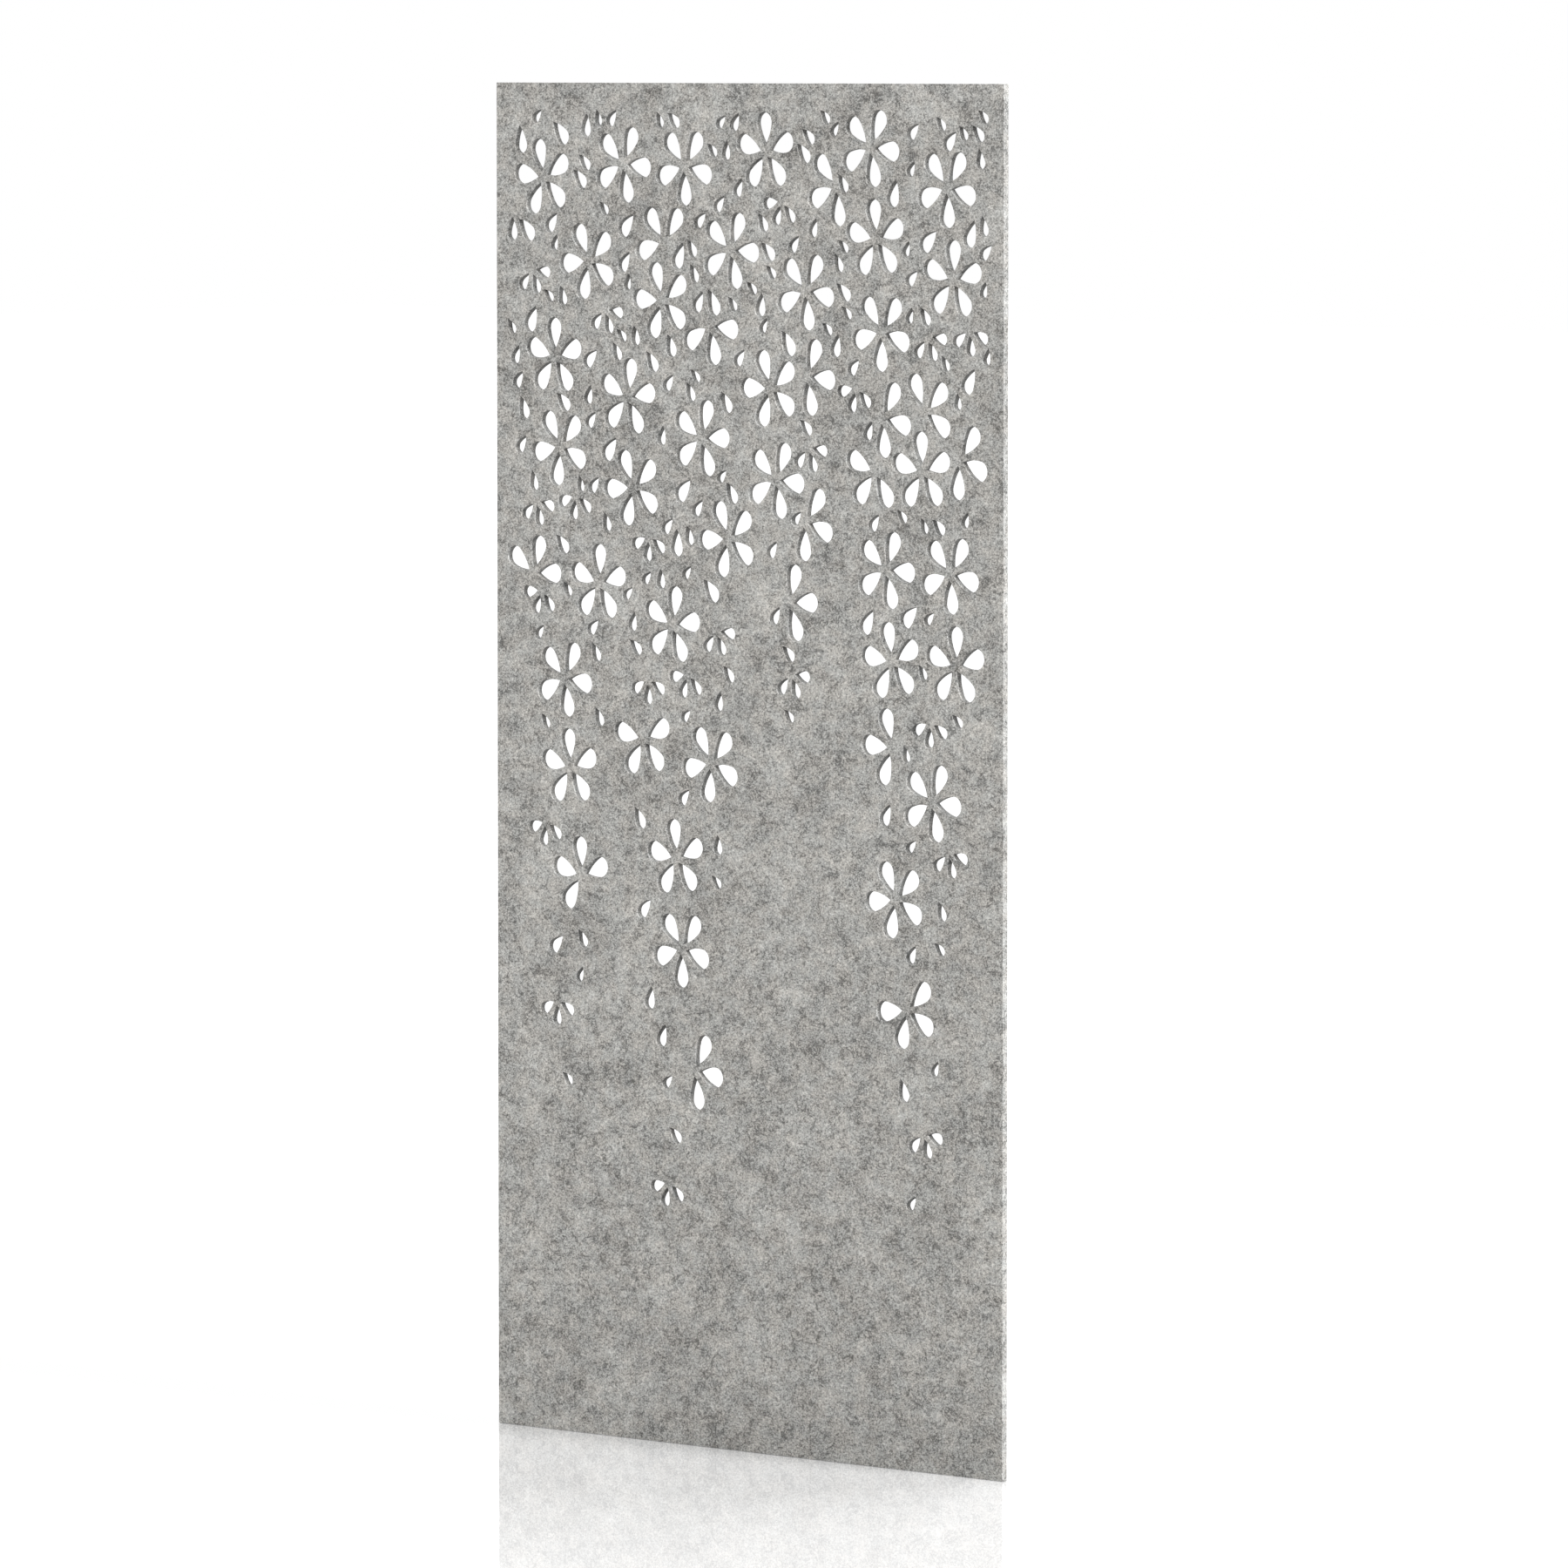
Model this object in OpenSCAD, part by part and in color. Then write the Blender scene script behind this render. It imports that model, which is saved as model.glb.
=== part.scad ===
// Hanging room divider: a rigid felt board with a curtain of falling blossom cut through it,
// carried by a bar that is hidden in a slot in its top edge.
// The origin is the middle of the top edge, midway between the two threaded sockets.
// +Z is up, the front face looks along -Y, and +X is to the right seen from the front.

/* [Board] */
// Width of the felt board
board_w = 1200; // [900:50:1400]
// Height of the felt board
board_h = 2400; // [2200:50:2800]
// Thickness of the felt board
board_t = 12; // [12:1:24]
// Colour of the felt
felt_color = "#9f9f9a"; // [#9f9f9a:Light grey, #5f6062:Anthracite, #b7a88f:Sand]

/* [Hanger] */
// Felt left whole past each end of the rail
rail_end = 50; // [20:5:80]
// Height of the rail
rail_h = 30; // [29:1:34]
// Thickness of the rail
rail_t = 4; // [3:0.5:5]
// Depth of the rail's top edge below the board's top edge
rail_inset = 1; // [0:0.5:2]
// Radius of the rail's lower corners
rail_corner_r = 3; // [1:1:6]
// Distance of each socket from the board's side edge
socket_inset = 150; // [130:5:170]
// Outer diameter of a socket
socket_d = 8; // [7.5:0.5:9]
// Tapping diameter of the socket's thread
thread_d = 4.2; // [3.3:0.1:5]
// Depth of the socket's thread
thread_l = 12; // [9:1:13]
// Metal between the thread and the fork
socket_web = 3; // [2:0.5:4]
// Depth of the fork that straddles the rail
fork_l = 14; // [11:1:15]
// Diameter of the pins
pin_d = 3; // [2:0.5:4]
// Distance of the outermost rail pins from the rail's ends
rail_pin_end = 50; // [20:5:55]
// Felt left over each end of a rail pin
pin_cover = 1.5; // [1:0.5:3]

/* [Fits] */
// Gap on each side of a piece that slides into felt
felt_gap = 0.1; // [0.05:0.05:0.25]
// Gap on each side of a metal piece in metal
metal_gap = 0.05; // [0.02:0.01:0.1]

/* [Petals] */
// Length of a petal of a blossom
blossom_l = 60; // [44:1:66]
// Length of a petal of a spray
spray_l = 36; // [26:1:40]
// Lengths of the loose petals
loose_l = [50, 42, 36, 30]; // [24:1:60]
// Width of a petal for a length of one
petal_ratio = 0.6; // [0.5:0.01:0.7]
// Radius of a petal's flank for a length of one
flank_ratio = 1.4; // [1.4:0.1:6]
// Distance from a blossom's centre to its petals' tips
eye_r = 10; // [8:0.5:12]
// Least felt left between two cut-outs
bridge = 7.5; // [6:0.5:14]
// Largest lean of a loose petal
loose_lean = 48; // [0:1:60]
// Largest lean of a spray
spray_lean = 25; // [0:1:30]

/* [Curtain] */
// Felt left whole along the top edge
top_margin = 44; // [42:1:80]
// Felt left whole along each side edge
side_margin = 24; // [15:1:60]
// Depth of the dense band
band_h = 500; // [300:10:600]
// Middles of the four hanging strands
strand_x = [-430, -160, 110, 395]; // [-600:5:600]
// Half widths of the strands at the band
strand_half_w = [120, 150, 75, 140]; // [60:5:180]
// Depths that the strands reach
strand_foot = [1740, 2040, 1080, 1960]; // [700:10:2100]
// How slowly a strand narrows on its way down
strand_taper = 2; // [1:0.1:3]
// Extra felt between the cut-outs at the lowest foot
loosening = 55; // [0:5:120]

/* [Hidden] */
$fn = 48;
flank_fn = 96;
overcut = 1;
rail_pins = 6;

pin_hole_d = pin_d + 2 * metal_gap;
rail_l = board_w - 2 * rail_end;
rail_top = -rail_inset;
rail_foot = rail_top - rail_h;
rail_mid = rail_top - rail_h / 2;
socket_x = board_w / 2 - socket_inset;
socket_l = thread_l + socket_web + fork_l;
fork_root = fork_l - socket_l;
socket_pin_z = fork_root - fork_l / 2;
rail_pin_l = board_t - 2 * pin_cover;
rail_pin_pitch = (rail_l - 2 * rail_pin_end) / (rail_pins - 1);
rail_pin_x = [for (i = [0:rail_pins - 1]) rail_pin_end - rail_l / 2 + i * rail_pin_pitch];

// ---- Petals: a petal is [tip, aim, length], and aim is the direction from its tip to its round end ----

// Steps of a spread that never lines up: the plastic number's inverse and its square, and the golden angle
spread_x = 0.7548776662;
spread_z = 0.5698402910;
golden_angle = 137.508;

// A petal of length one has its tip at the origin and its round end at 1 on the X axis. Each flank
// is an arc that meets the end's arc at so small an angle that it looks smooth.
end_ratio = petal_ratio / 2;
end_x = 1 - end_ratio;
flank_bite = 0.004;
flank_to_end = flank_ratio - end_ratio + flank_bite;
flank_x = (pow(end_x, 2) + pow(flank_ratio, 2) - pow(flank_to_end, 2)) / (2 * end_x);
flank_y = sqrt(pow(flank_ratio, 2) - pow(flank_x, 2));
shoulder_x = flank_x + (end_x - flank_x) * flank_ratio / flank_to_end;

// Discs that touch both flanks and stand for the petal: distance from its tip, and radius
disc_x = [end_x, 0.55 * end_x, 0.22 * end_x];
unit_discs = [for (x = disc_x) [x, flank_ratio - norm([x - flank_x, flank_y])]];

function heading(aim) = [cos(aim), sin(aim)];
function fraction(v) = v - floor(v);
function petal_discs(p) = [for (d = unit_discs) [p[0] + p[2] * d[0] * heading(p[1]), p[2] * d[1]]];

// ---- Motifs: a motif is [centre, reach, petals, discs] ----

function motif(centre, reach, petals) = [centre, reach, petals, [for (p = petals) each petal_discs(p)]];

blossom_slots = 5;
spray_slots = 6;
spray_petals = 3;
spray_start = -90 - 180 * (spray_petals - 1) / spray_slots;

// Petals round a centre: the first at the angle turn, and the rest in the slots that follow
function ring(centre, turn, count, slots, length) =
    motif(centre, eye_r + length, [
        for (k = [0:count - 1])
            let (aim = turn + 360 * k / slots)
            [centre + eye_r * heading(aim), aim, length]
    ]);

function blossom(centre, i, count) = ring(centre, golden_angle * i, count, blossom_slots, blossom_l);

// Small petals that hang from a point
function spray(centre, i) =
    ring(centre, spray_start + spray_lean * sin(golden_angle * i), spray_petals, spray_slots, spray_l);

function loose(centre, i, length) =
    let (aim = -90 + loose_lean * sin(golden_angle * i))
    motif(centre, length / 2, [[centre - heading(aim) * length / 2, aim, length]]);

// What is tried, in this order: [kind, size, tries for each square of a blossom petal's length, start
// of the spread, share of the curtain's depth, room as a multiple of the bridge]. Size is a petal count
// or a length.
passes = [
    ["blossom", 5, 0.45, 0.50, 0.80, 1.4],
    ["blossom", 4, 0.45, 0.13, 0.86, 1.1],
    ["blossom", 3, 0.60, 0.37, 0.90, 1.0],
    ["spray", spray_petals, 0.60, 0.77, 0.97, 1.1],
    ["loose", loose_l[0], 0.45, 0.31, 0.88, 1.1],
    ["loose", loose_l[1], 0.75, 0.61, 0.94, 1.0],
    ["loose", loose_l[2], 1.50, 0.91, 1.00, 1.0],
    ["loose", loose_l[3], 1.50, 0.21, 1.04, 1.0]
];

function make(kind, size, centre, i) =
    kind == "blossom" ? blossom(centre, i, size)
    : kind == "spray" ? spray(centre, i)
    : loose(centre, i, size);

// ---- Curtain: where cut-outs may lie, and how they keep clear of each other ----

curtain_foot = max(strand_foot);
curtain_squares = board_w * curtain_foot / pow(blossom_l, 2);

// Depth below the top edge that the curtain reaches at x
function curtain_depth(x) = max([
    for (s = [0:len(strand_x) - 1])
        let (u = min(1, abs(x - strand_x[s]) / strand_half_w[s]))
        band_h + (strand_foot[s] - band_h) * (1 - pow(u, strand_taper))
]);

// Felt between cut-outs at a depth: the curtain loosens on its way down
function felt_between(depth) = loosening * pow(max(0, depth - band_h) / (curtain_foot - band_h), 2);

function on_board(m) = len([
    for (d = m[3])
        if (abs(d[0].x) > board_w / 2 - side_margin - d[1] || d[0].y > -top_margin - d[1]) d
]) == 0;

function apart(a, b, felt) =
    norm(a[0] - b[0]) > a[1] + b[1] + felt
    || len([for (d = a[3], e = b[3]) if (norm(d[0] - e[0]) < d[1] + e[1] + felt) d]) == 0;

function fits(m, kept, felt) = on_board(m) && len([for (k = kept) if (!apart(m, k, felt)) k]) == 0;

// Goes through one pass's tries and keeps each motif that is clear of all kept before it
function scatter(pass, kept, i = 0) =
    i >= pass[2] * curtain_squares ? kept
    : let (
        x = (fraction(pass[3] + i * spread_x) - 0.5) * board_w,
        depth = fraction(pass[3] + i * spread_z) * curtain_foot,
        m = make(pass[0], pass[1], [x, -depth], i),
        kept_now = depth <= pass[4] * curtain_depth(x)
            && fits(m, kept, bridge * pass[5] + felt_between(depth)) ? concat(kept, [m]) : kept
    )
    scatter(pass, kept_now, i + 1);

function curtain(kept = [], n = 0) = n == len(passes) ? kept : curtain(scatter(passes[n], kept), n + 1);

// ---- The board ----

// Two flank arcs up to the shoulder, and a round end past it
module petal(length) scale(length) intersection() {
    union() {
        translate([0, -end_ratio]) square([shoulder_x, 2 * end_ratio]);
        translate([end_x, 0]) circle(end_ratio);
    }
    intersection_for (side = [-1, 1])
        translate([flank_x, side * flank_y]) circle(flank_ratio, $fn = flank_fn);
}

module board_outline() {
    translate([-board_w / 2, -board_h]) square([board_w, board_h]);
}

module pierced_sheet() {
    rotate([90, 0, 0]) linear_extrude(board_t, center = true) difference() {
        board_outline();
        for (m = curtain(), p = m[2]) translate(p[0]) rotate(p[1]) petal(p[2]);
    }
}

module rail_slot() {
    slot_t = rail_t + 2 * felt_gap;
    slot_l = rail_l + 2 * felt_gap;
    slot_h = felt_gap - rail_foot;
    translate([-slot_l / 2, -slot_t / 2, -slot_h]) cube([slot_l, slot_t, slot_h + overcut]);
}

module socket_bore() {
    bore_l = socket_l + felt_gap;
    translate([0, 0, -bore_l]) cylinder(d = socket_d + 2 * felt_gap, h = bore_l + overcut);
}

// A round bar of length l across the board, centred on its thickness
module across(d, l) {
    rotate([90, 0, 0]) cylinder(d = d, h = l, center = true);
}

module felt_board() color(felt_color) difference() {
    pierced_sheet();
    rail_slot();
    for (x = [-socket_x, socket_x]) translate([x, 0, 0]) socket_bore();
    for (x = rail_pin_x) translate([x, 0, rail_mid]) across(pin_hole_d, rail_pin_l + 2 * felt_gap);
}

// ---- The hanger ----

module rail_outline() {
    r = rail_corner_r;
    difference() {
        translate([-rail_l / 2, rail_foot]) square([rail_l, rail_h]);
        for (side = [-1, 1]) translate([side * (rail_l / 2 - r), rail_foot + r]) difference() {
            translate([side > 0 ? 0 : -r - overcut, -r - overcut]) square(r + overcut);
            circle(r);
        }
    }
}

module hanger_rail() color("silver") difference() {
    notch_w = socket_d + 2 * metal_gap;
    rotate([90, 0, 0]) linear_extrude(rail_t, center = true) rail_outline();
    for (x = [-socket_x, socket_x]) {
        translate([x - notch_w / 2, -rail_t / 2 - overcut, fork_root - metal_gap])
            cube([notch_w, rail_t + 2 * overcut, overcut - fork_root]);
        translate([x, 0, socket_pin_z]) across(pin_hole_d, rail_t + 2 * overcut);
    }
    for (x = rail_pin_x) translate([x, 0, rail_mid]) across(pin_hole_d, rail_t + 2 * overcut);
}

// A round bar with a blind thread in its top and a fork at its foot
module socket() {
    fork_gap = rail_t + 2 * metal_gap;
    difference() {
        translate([0, 0, -socket_l]) cylinder(d = socket_d, h = socket_l);
        translate([0, 0, -thread_l]) cylinder(d = thread_d, h = thread_l + overcut);
        translate([-socket_d, -fork_gap / 2, -socket_l - overcut])
            cube([2 * socket_d, fork_gap, fork_l + overcut]);
        translate([0, 0, socket_pin_z]) across(pin_hole_d, 2 * socket_d);
    }
}

module socket_pin() {
    translate([0, 0, socket_pin_z]) across(pin_d, sqrt(pow(socket_d, 2) - pow(pin_d, 2)));
}

module left_socket() color("gray") translate([-socket_x, 0, 0]) socket();
module right_socket() color("gray") translate([socket_x, 0, 0]) socket();
module left_socket_pin() color("dimgray") translate([-socket_x, 0, 0]) socket_pin();
module right_socket_pin() color("dimgray") translate([socket_x, 0, 0]) socket_pin();

module rail_pin(i) color("dimgray") translate([rail_pin_x[i], 0, rail_mid]) across(pin_d, rail_pin_l);

felt_board();
hanger_rail();
left_socket();
right_socket();
left_socket_pin();
right_socket_pin();
rail_pin(0);  // rail_pin_1
rail_pin(1);  // rail_pin_2
rail_pin(2);  // rail_pin_3
rail_pin(3);  // rail_pin_4
rail_pin(4);  // rail_pin_5
rail_pin(5);  // rail_pin_6
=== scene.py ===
"""Dresses a hanging room divider: a felt board with a curtain of petals cut through it, on a hidden rail.

Sizes are in metres. The origin is the middle of the board's top edge, +Z is up and the front looks along -Y.
"""

import math

import bmesh
import bpy
from bpy.props import FloatProperty, FloatVectorProperty, IntProperty, PointerProperty
from mathutils import Euler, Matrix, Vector


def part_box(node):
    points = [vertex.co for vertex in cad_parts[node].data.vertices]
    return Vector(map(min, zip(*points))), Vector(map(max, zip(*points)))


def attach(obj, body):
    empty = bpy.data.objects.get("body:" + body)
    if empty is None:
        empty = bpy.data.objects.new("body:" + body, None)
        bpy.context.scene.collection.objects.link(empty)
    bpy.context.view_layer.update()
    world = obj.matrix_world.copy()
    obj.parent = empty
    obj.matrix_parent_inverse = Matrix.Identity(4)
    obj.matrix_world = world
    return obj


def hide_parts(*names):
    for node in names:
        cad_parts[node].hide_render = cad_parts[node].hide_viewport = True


bl_info = {
    "name": "Petal Room Divider",
    "version": (1, 0, 0),
    "blender": (4, 5, 0),
    "location": "3D View > Sidebar > Divider",
    "description": "Cuts the felt board, finishes its hanger and sets the studio",
    "category": "Object",
}

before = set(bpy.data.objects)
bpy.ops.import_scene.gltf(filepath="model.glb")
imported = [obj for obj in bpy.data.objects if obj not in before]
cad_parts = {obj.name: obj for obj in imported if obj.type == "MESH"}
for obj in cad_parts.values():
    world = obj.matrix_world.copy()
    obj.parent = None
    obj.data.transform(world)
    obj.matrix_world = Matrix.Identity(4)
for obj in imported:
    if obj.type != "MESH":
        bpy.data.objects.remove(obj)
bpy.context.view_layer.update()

BODY = "root"
MM = 0.001
UP = (0.0, 0.0, 1.0)
WHITE = (1.0, 1.0, 1.0, 1.0)
WELD = 0.01 * MM  # Points of the board closer than this count as one
FINE_WELD = 0.001 * MM  # The same on a socket
HOLE_SIDES = 48


def extent(node):
    """Size and middle of a CAD node's box."""
    low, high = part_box(node)
    return high - low, (high + low) / 2


BOARD_SIZE, _ = extent("felt_board")
RAIL_PINS = sorted(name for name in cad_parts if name.startswith("rail_pin_"))
SOCKETS = ["left_socket", "right_socket"]
SOCKET_PINS = ["left_socket_pin", "right_socket_pin"]


# ---------------------------------------------------------------- node trees


class Value:
    """A number inside a node tree. Arithmetic on it adds Math nodes."""

    def __init__(self, graph, socket):
        self.graph = graph
        self.socket = socket

    def math(self, operation, *operands):
        node = self.graph.add("ShaderNodeMath", {"operation": operation})
        for place, operand in enumerate(operands):
            self.graph.feed(node.inputs[place], operand)
        return Value(self.graph, node.outputs[0])

    def of(self, operation, *others):
        """This value put through any other Math operation."""
        return self.math(operation, self, *others)

    def __add__(self, other):
        return self.math("ADD", self, other)

    def __radd__(self, other):
        return self.math("ADD", other, self)

    def __sub__(self, other):
        return self.math("SUBTRACT", self, other)

    def __rsub__(self, other):
        return self.math("SUBTRACT", other, self)

    def __mul__(self, other):
        return self.math("MULTIPLY", self, other)

    def __rmul__(self, other):
        return self.math("MULTIPLY", other, self)

    def __truediv__(self, other):
        return self.math("DIVIDE", self, other)

    def __neg__(self):
        return self.math("MULTIPLY", self, -1.0)

    def __abs__(self):
        return self.of("ABSOLUTE")

    def __gt__(self, other):
        return self.math("GREATER_THAN", self, other)

    def __lt__(self, other):
        return self.math("LESS_THAN", self, other)


class Graph:
    """Adds nodes to one shader or geometry tree."""

    def __init__(self, tree):
        self.tree = tree

    def feed(self, socket, value):
        """Links a Value or an output socket to an input, or sets a plain number, vector or material on it."""
        if isinstance(value, Value):
            value = value.socket
        if isinstance(value, bpy.types.NodeSocket):
            self.tree.links.new(value, socket)
        else:
            socket.default_value = value

    def add(self, kind, settings=None, values=None):
        """Adds a node, applies its settings first and then fills its enabled inputs by name."""
        node = self.tree.nodes.new(kind)
        for key, value in (settings or {}).items():
            setattr(node, key, value)
        for key, value in (values or {}).items():
            self.feed(next(s for s in node.inputs if s.name == key and s.enabled), value)
        return node

    def out(self, kind, output, settings=None, values=None):
        """Adds a node and returns its enabled output of that name."""
        node = self.add(kind, settings, values)
        return next(s for s in node.outputs if s.name == output and s.enabled)

    def value(self, kind, output, settings=None, values=None):
        return Value(self, self.out(kind, output, settings, values))

    def vector(self, operation, *operands):
        node = self.add("ShaderNodeVectorMath", {"operation": operation})
        for place, operand in enumerate(operands):
            self.feed(node.inputs[place], operand)
        return node.outputs["Vector"]

    def scaled(self, vector, factor):
        return self.out(
            "ShaderNodeVectorMath", "Vector", {"operation": "SCALE"}, {"Vector": vector, "Scale": factor}
        )

    def join(self, x, y, z):
        return self.out("ShaderNodeCombineXYZ", "Vector", None, {"X": x, "Y": y, "Z": z})

    def split(self, vector):
        node = self.add("ShaderNodeSeparateXYZ", None, {"Vector": vector})
        return [Value(self, socket) for socket in node.outputs]

    def ease(self, value, start, end):
        """0 at start, 1 at end and smooth between them."""
        return self.value(
            "ShaderNodeMapRange",
            "Result",
            {"interpolation_type": "SMOOTHSTEP"},
            {"Value": value, "From Min": start, "From Max": end},
        )


class GeometryGraph(Graph):
    """Adds nodes to a geometry tree. Its methods return geometry sockets, except attribute."""

    def move(self, geometry, x=0.0, y=0.0, z=0.0, turn=(0.0, 0.0, 0.0)):
        return self.out(
            "GeometryNodeTransform",
            "Geometry",
            None,
            {"Geometry": geometry, "Translation": self.join(x, y, z), "Rotation": Euler(turn)},
        )

    def joined(self, *parts):
        node = self.add("GeometryNodeJoinGeometry")
        for part in parts:
            self.feed(node.inputs[0], part)
        return node.outputs[0]

    def displaced(self, geometry, offset, selection=True):
        return self.out(
            "GeometryNodeSetPosition",
            "Geometry",
            None,
            {"Geometry": geometry, "Selection": selection, "Offset": offset},
        )

    def attribute(self, name, data_type="FLOAT"):
        return self.out(
            "GeometryNodeInputNamedAttribute",
            "Attribute",
            {"data_type": data_type},
            {"Name": name},
        )

    def at_points(self, points, instance, **values):
        return self.out(
            "GeometryNodeInstanceOnPoints",
            "Instances",
            None,
            {"Points": points, "Instance": instance, **values},
        )

    def row(self, count, length):
        """Points on X, evenly spread over a length about the origin."""
        return self.out(
            "GeometryNodeMeshLine",
            "Mesh",
            {"mode": "END_POINTS"},
            {
                "Count": count,
                "Start Location": self.join(length / -2, 0.0, 0.0),
                "Offset": self.join(length / 2, 0.0, 0.0),
            },
        )

    def cylinder(self, diameter, depth):
        return self.out(
            "GeometryNodeMeshCylinder",
            "Mesh",
            None,
            {"Vertices": HOLE_SIDES, "Radius": diameter / 2, "Depth": depth},
        )

    def cut(self, geometry, *cutters):
        node = self.add(
            "GeometryNodeMeshBoolean", {"operation": "DIFFERENCE", "solver": "MANIFOLD"}, {"Mesh 1": geometry}
        )
        for cutter in cutters:
            self.feed(node.inputs["Mesh 2"], cutter)
        return node.outputs["Mesh"]

    def painted(self, geometry, material, selection=True):
        return self.out(
            "GeometryNodeSetMaterial",
            "Geometry",
            None,
            {"Geometry": geometry, "Selection": selection, "Material": material},
        )

    def realized(self, geometry):
        return self.out("GeometryNodeRealizeInstances", "Geometry", None, {"Geometry": geometry})

    def smoothed(self, geometry, sharp_angle, smooth_faces=True):
        """Smooth shading on faces, but not over edges sharper than an angle."""
        sharp = self.value("GeometryNodeInputMeshEdgeAngle", "Unsigned Angle") > sharp_angle
        for domain, smooth in (("FACE", smooth_faces), ("EDGE", 1 - sharp)):
            geometry = self.out(
                "GeometryNodeSetShadeSmooth",
                "Geometry",
                {"domain": domain},
                {"Geometry": geometry, "Shade Smooth": smooth},
            )
        return geometry


def new_geometry_tree(name, inputs):
    """A geometry tree with named inputs: its graph, and a dictionary of the inputs."""
    tree = bpy.data.node_groups.new(name, "GeometryNodeTree")
    tree.is_modifier = True
    tree.interface.new_socket("Geometry", in_out="OUTPUT", socket_type="NodeSocketGeometry")
    for label, kind in inputs.items():
        tree.interface.new_socket(label, in_out="INPUT", socket_type="NodeSocket" + kind)
    g = GeometryGraph(tree)
    sockets = g.add("NodeGroupInput").outputs
    given = {}
    for label, kind in inputs.items():
        is_number = kind in ("Float", "Int")
        given[label] = Value(g, sockets[label]) if is_number else sockets[label]
    return g, given


def grow(name, base_mesh, tree, values):
    """The finished mesh of a geometry tree, as an object at the origin with no modifier."""
    piece = bpy.data.objects.new(name, base_mesh)
    bpy.context.scene.collection.objects.link(piece)
    modifier = piece.modifiers.new("Form", "NODES")
    modifier.node_group = tree
    identifiers = {item.name: item.identifier for item in tree.interface.items_tree if item.in_out == "INPUT"}
    for label, value in values.items():
        modifier[identifiers[label]] = value
    evaluated = piece.evaluated_get(bpy.context.evaluated_depsgraph_get())
    mesh = bpy.data.meshes.new_from_object(evaluated)
    piece.modifiers.remove(modifier)
    piece.data = mesh
    mesh.name = name
    bpy.data.meshes.remove(base_mesh)
    return piece


# ---------------------------------------------------------------- settings


class FeltSettings(bpy.types.PropertyGroup):
    """Form and finish of the felt board."""

    petal_width: FloatProperty(
        name="Petal Width",
        description="Width of a petal of length one",
        default=0.6,
    )
    flank_radius: FloatProperty(
        name="Flank Radius",
        description="Radius of a petal's flank for a length of one",
        default=1.4,
    )
    flank_steps: IntProperty(
        name="Flank Steps",
        description="Edges along each flank of a petal",
        default=5,
    )
    end_steps: IntProperty(
        name="End Steps",
        description="Edges round a petal's round end",
        default=20,
    )
    lip: FloatProperty(
        name="Lip Radius",
        description="Rounding of every cut edge",
        default=0.4 * MM,
        unit="LENGTH",
    )
    corner: FloatProperty(
        name="Corner Radius",
        description="Rounding of the board's four corners, seen from the front",
        default=0.8 * MM,
        unit="LENGTH",
    )
    hanger_gap: FloatProperty(
        name="Hanger Gap",
        description="Gap between the felt and the rail, the sockets and the pins' ends",
        default=0.1 * MM,
        unit="LENGTH",
    )
    pin_gap: FloatProperty(
        name="Pin Gap",
        description="Gap round a pin in its hole",
        default=0.05 * MM,
        unit="LENGTH",
    )
    colour: FloatVectorProperty(
        name="Face Colour",
        description="Mean colour of the felt's two faces",
        default=(0.365, 0.358, 0.34),
        subtype="COLOR",
    )
    # Darker than the faces: partly the felt's own cut colour, partly painted shade for the walls inside the
    # petals
    cut_colour_and_shade: FloatVectorProperty(
        name="Cut Colour",
        description="Mean colour of the felt where it is cut",
        default=(0.29, 0.287, 0.277),
        subtype="COLOR",
    )


class HangerSettings(bpy.types.PropertyGroup):
    """Thread and finish of the metal in the board's top edge."""

    rail_colour: FloatVectorProperty(
        name="Rail Colour",
        description="Colour of the aluminium rail",
        default=(0.77, 0.78, 0.78),
        subtype="COLOR",
    )
    bore: FloatProperty(
        name="Bore Diameter",
        description="Diameter of the hole that is threaded, as the CAD sockets have it",
        default=4.2 * MM,
        unit="LENGTH",
    )
    thread: FloatProperty(
        name="Thread Diameter",
        description="Outer diameter of the thread in the sockets",
        default=5.0 * MM,
        unit="LENGTH",
    )
    pitch: FloatProperty(
        name="Thread Pitch",
        description="Rise of the thread in one turn",
        default=0.8 * MM,
        unit="LENGTH",
    )
    thread_length: FloatProperty(
        name="Thread Length",
        description="Length of full thread below a socket's mouth",
        default=10.4 * MM,
        unit="LENGTH",
    )
    lead_in: FloatProperty(
        name="Lead-in Diameter",
        description="Diameter of the countersink at a socket's mouth",
        default=5.4 * MM,
        unit="LENGTH",
    )
    socket_colour: FloatVectorProperty(
        name="Socket Colour",
        description="Colour of the plated sockets",
        default=(0.62, 0.62, 0.60),
        subtype="COLOR",
    )
    pin_colour: FloatVectorProperty(
        name="Pin Colour",
        description="Colour of the ground pins",
        default=(0.55, 0.55, 0.55),
        subtype="COLOR",
    )


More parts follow.
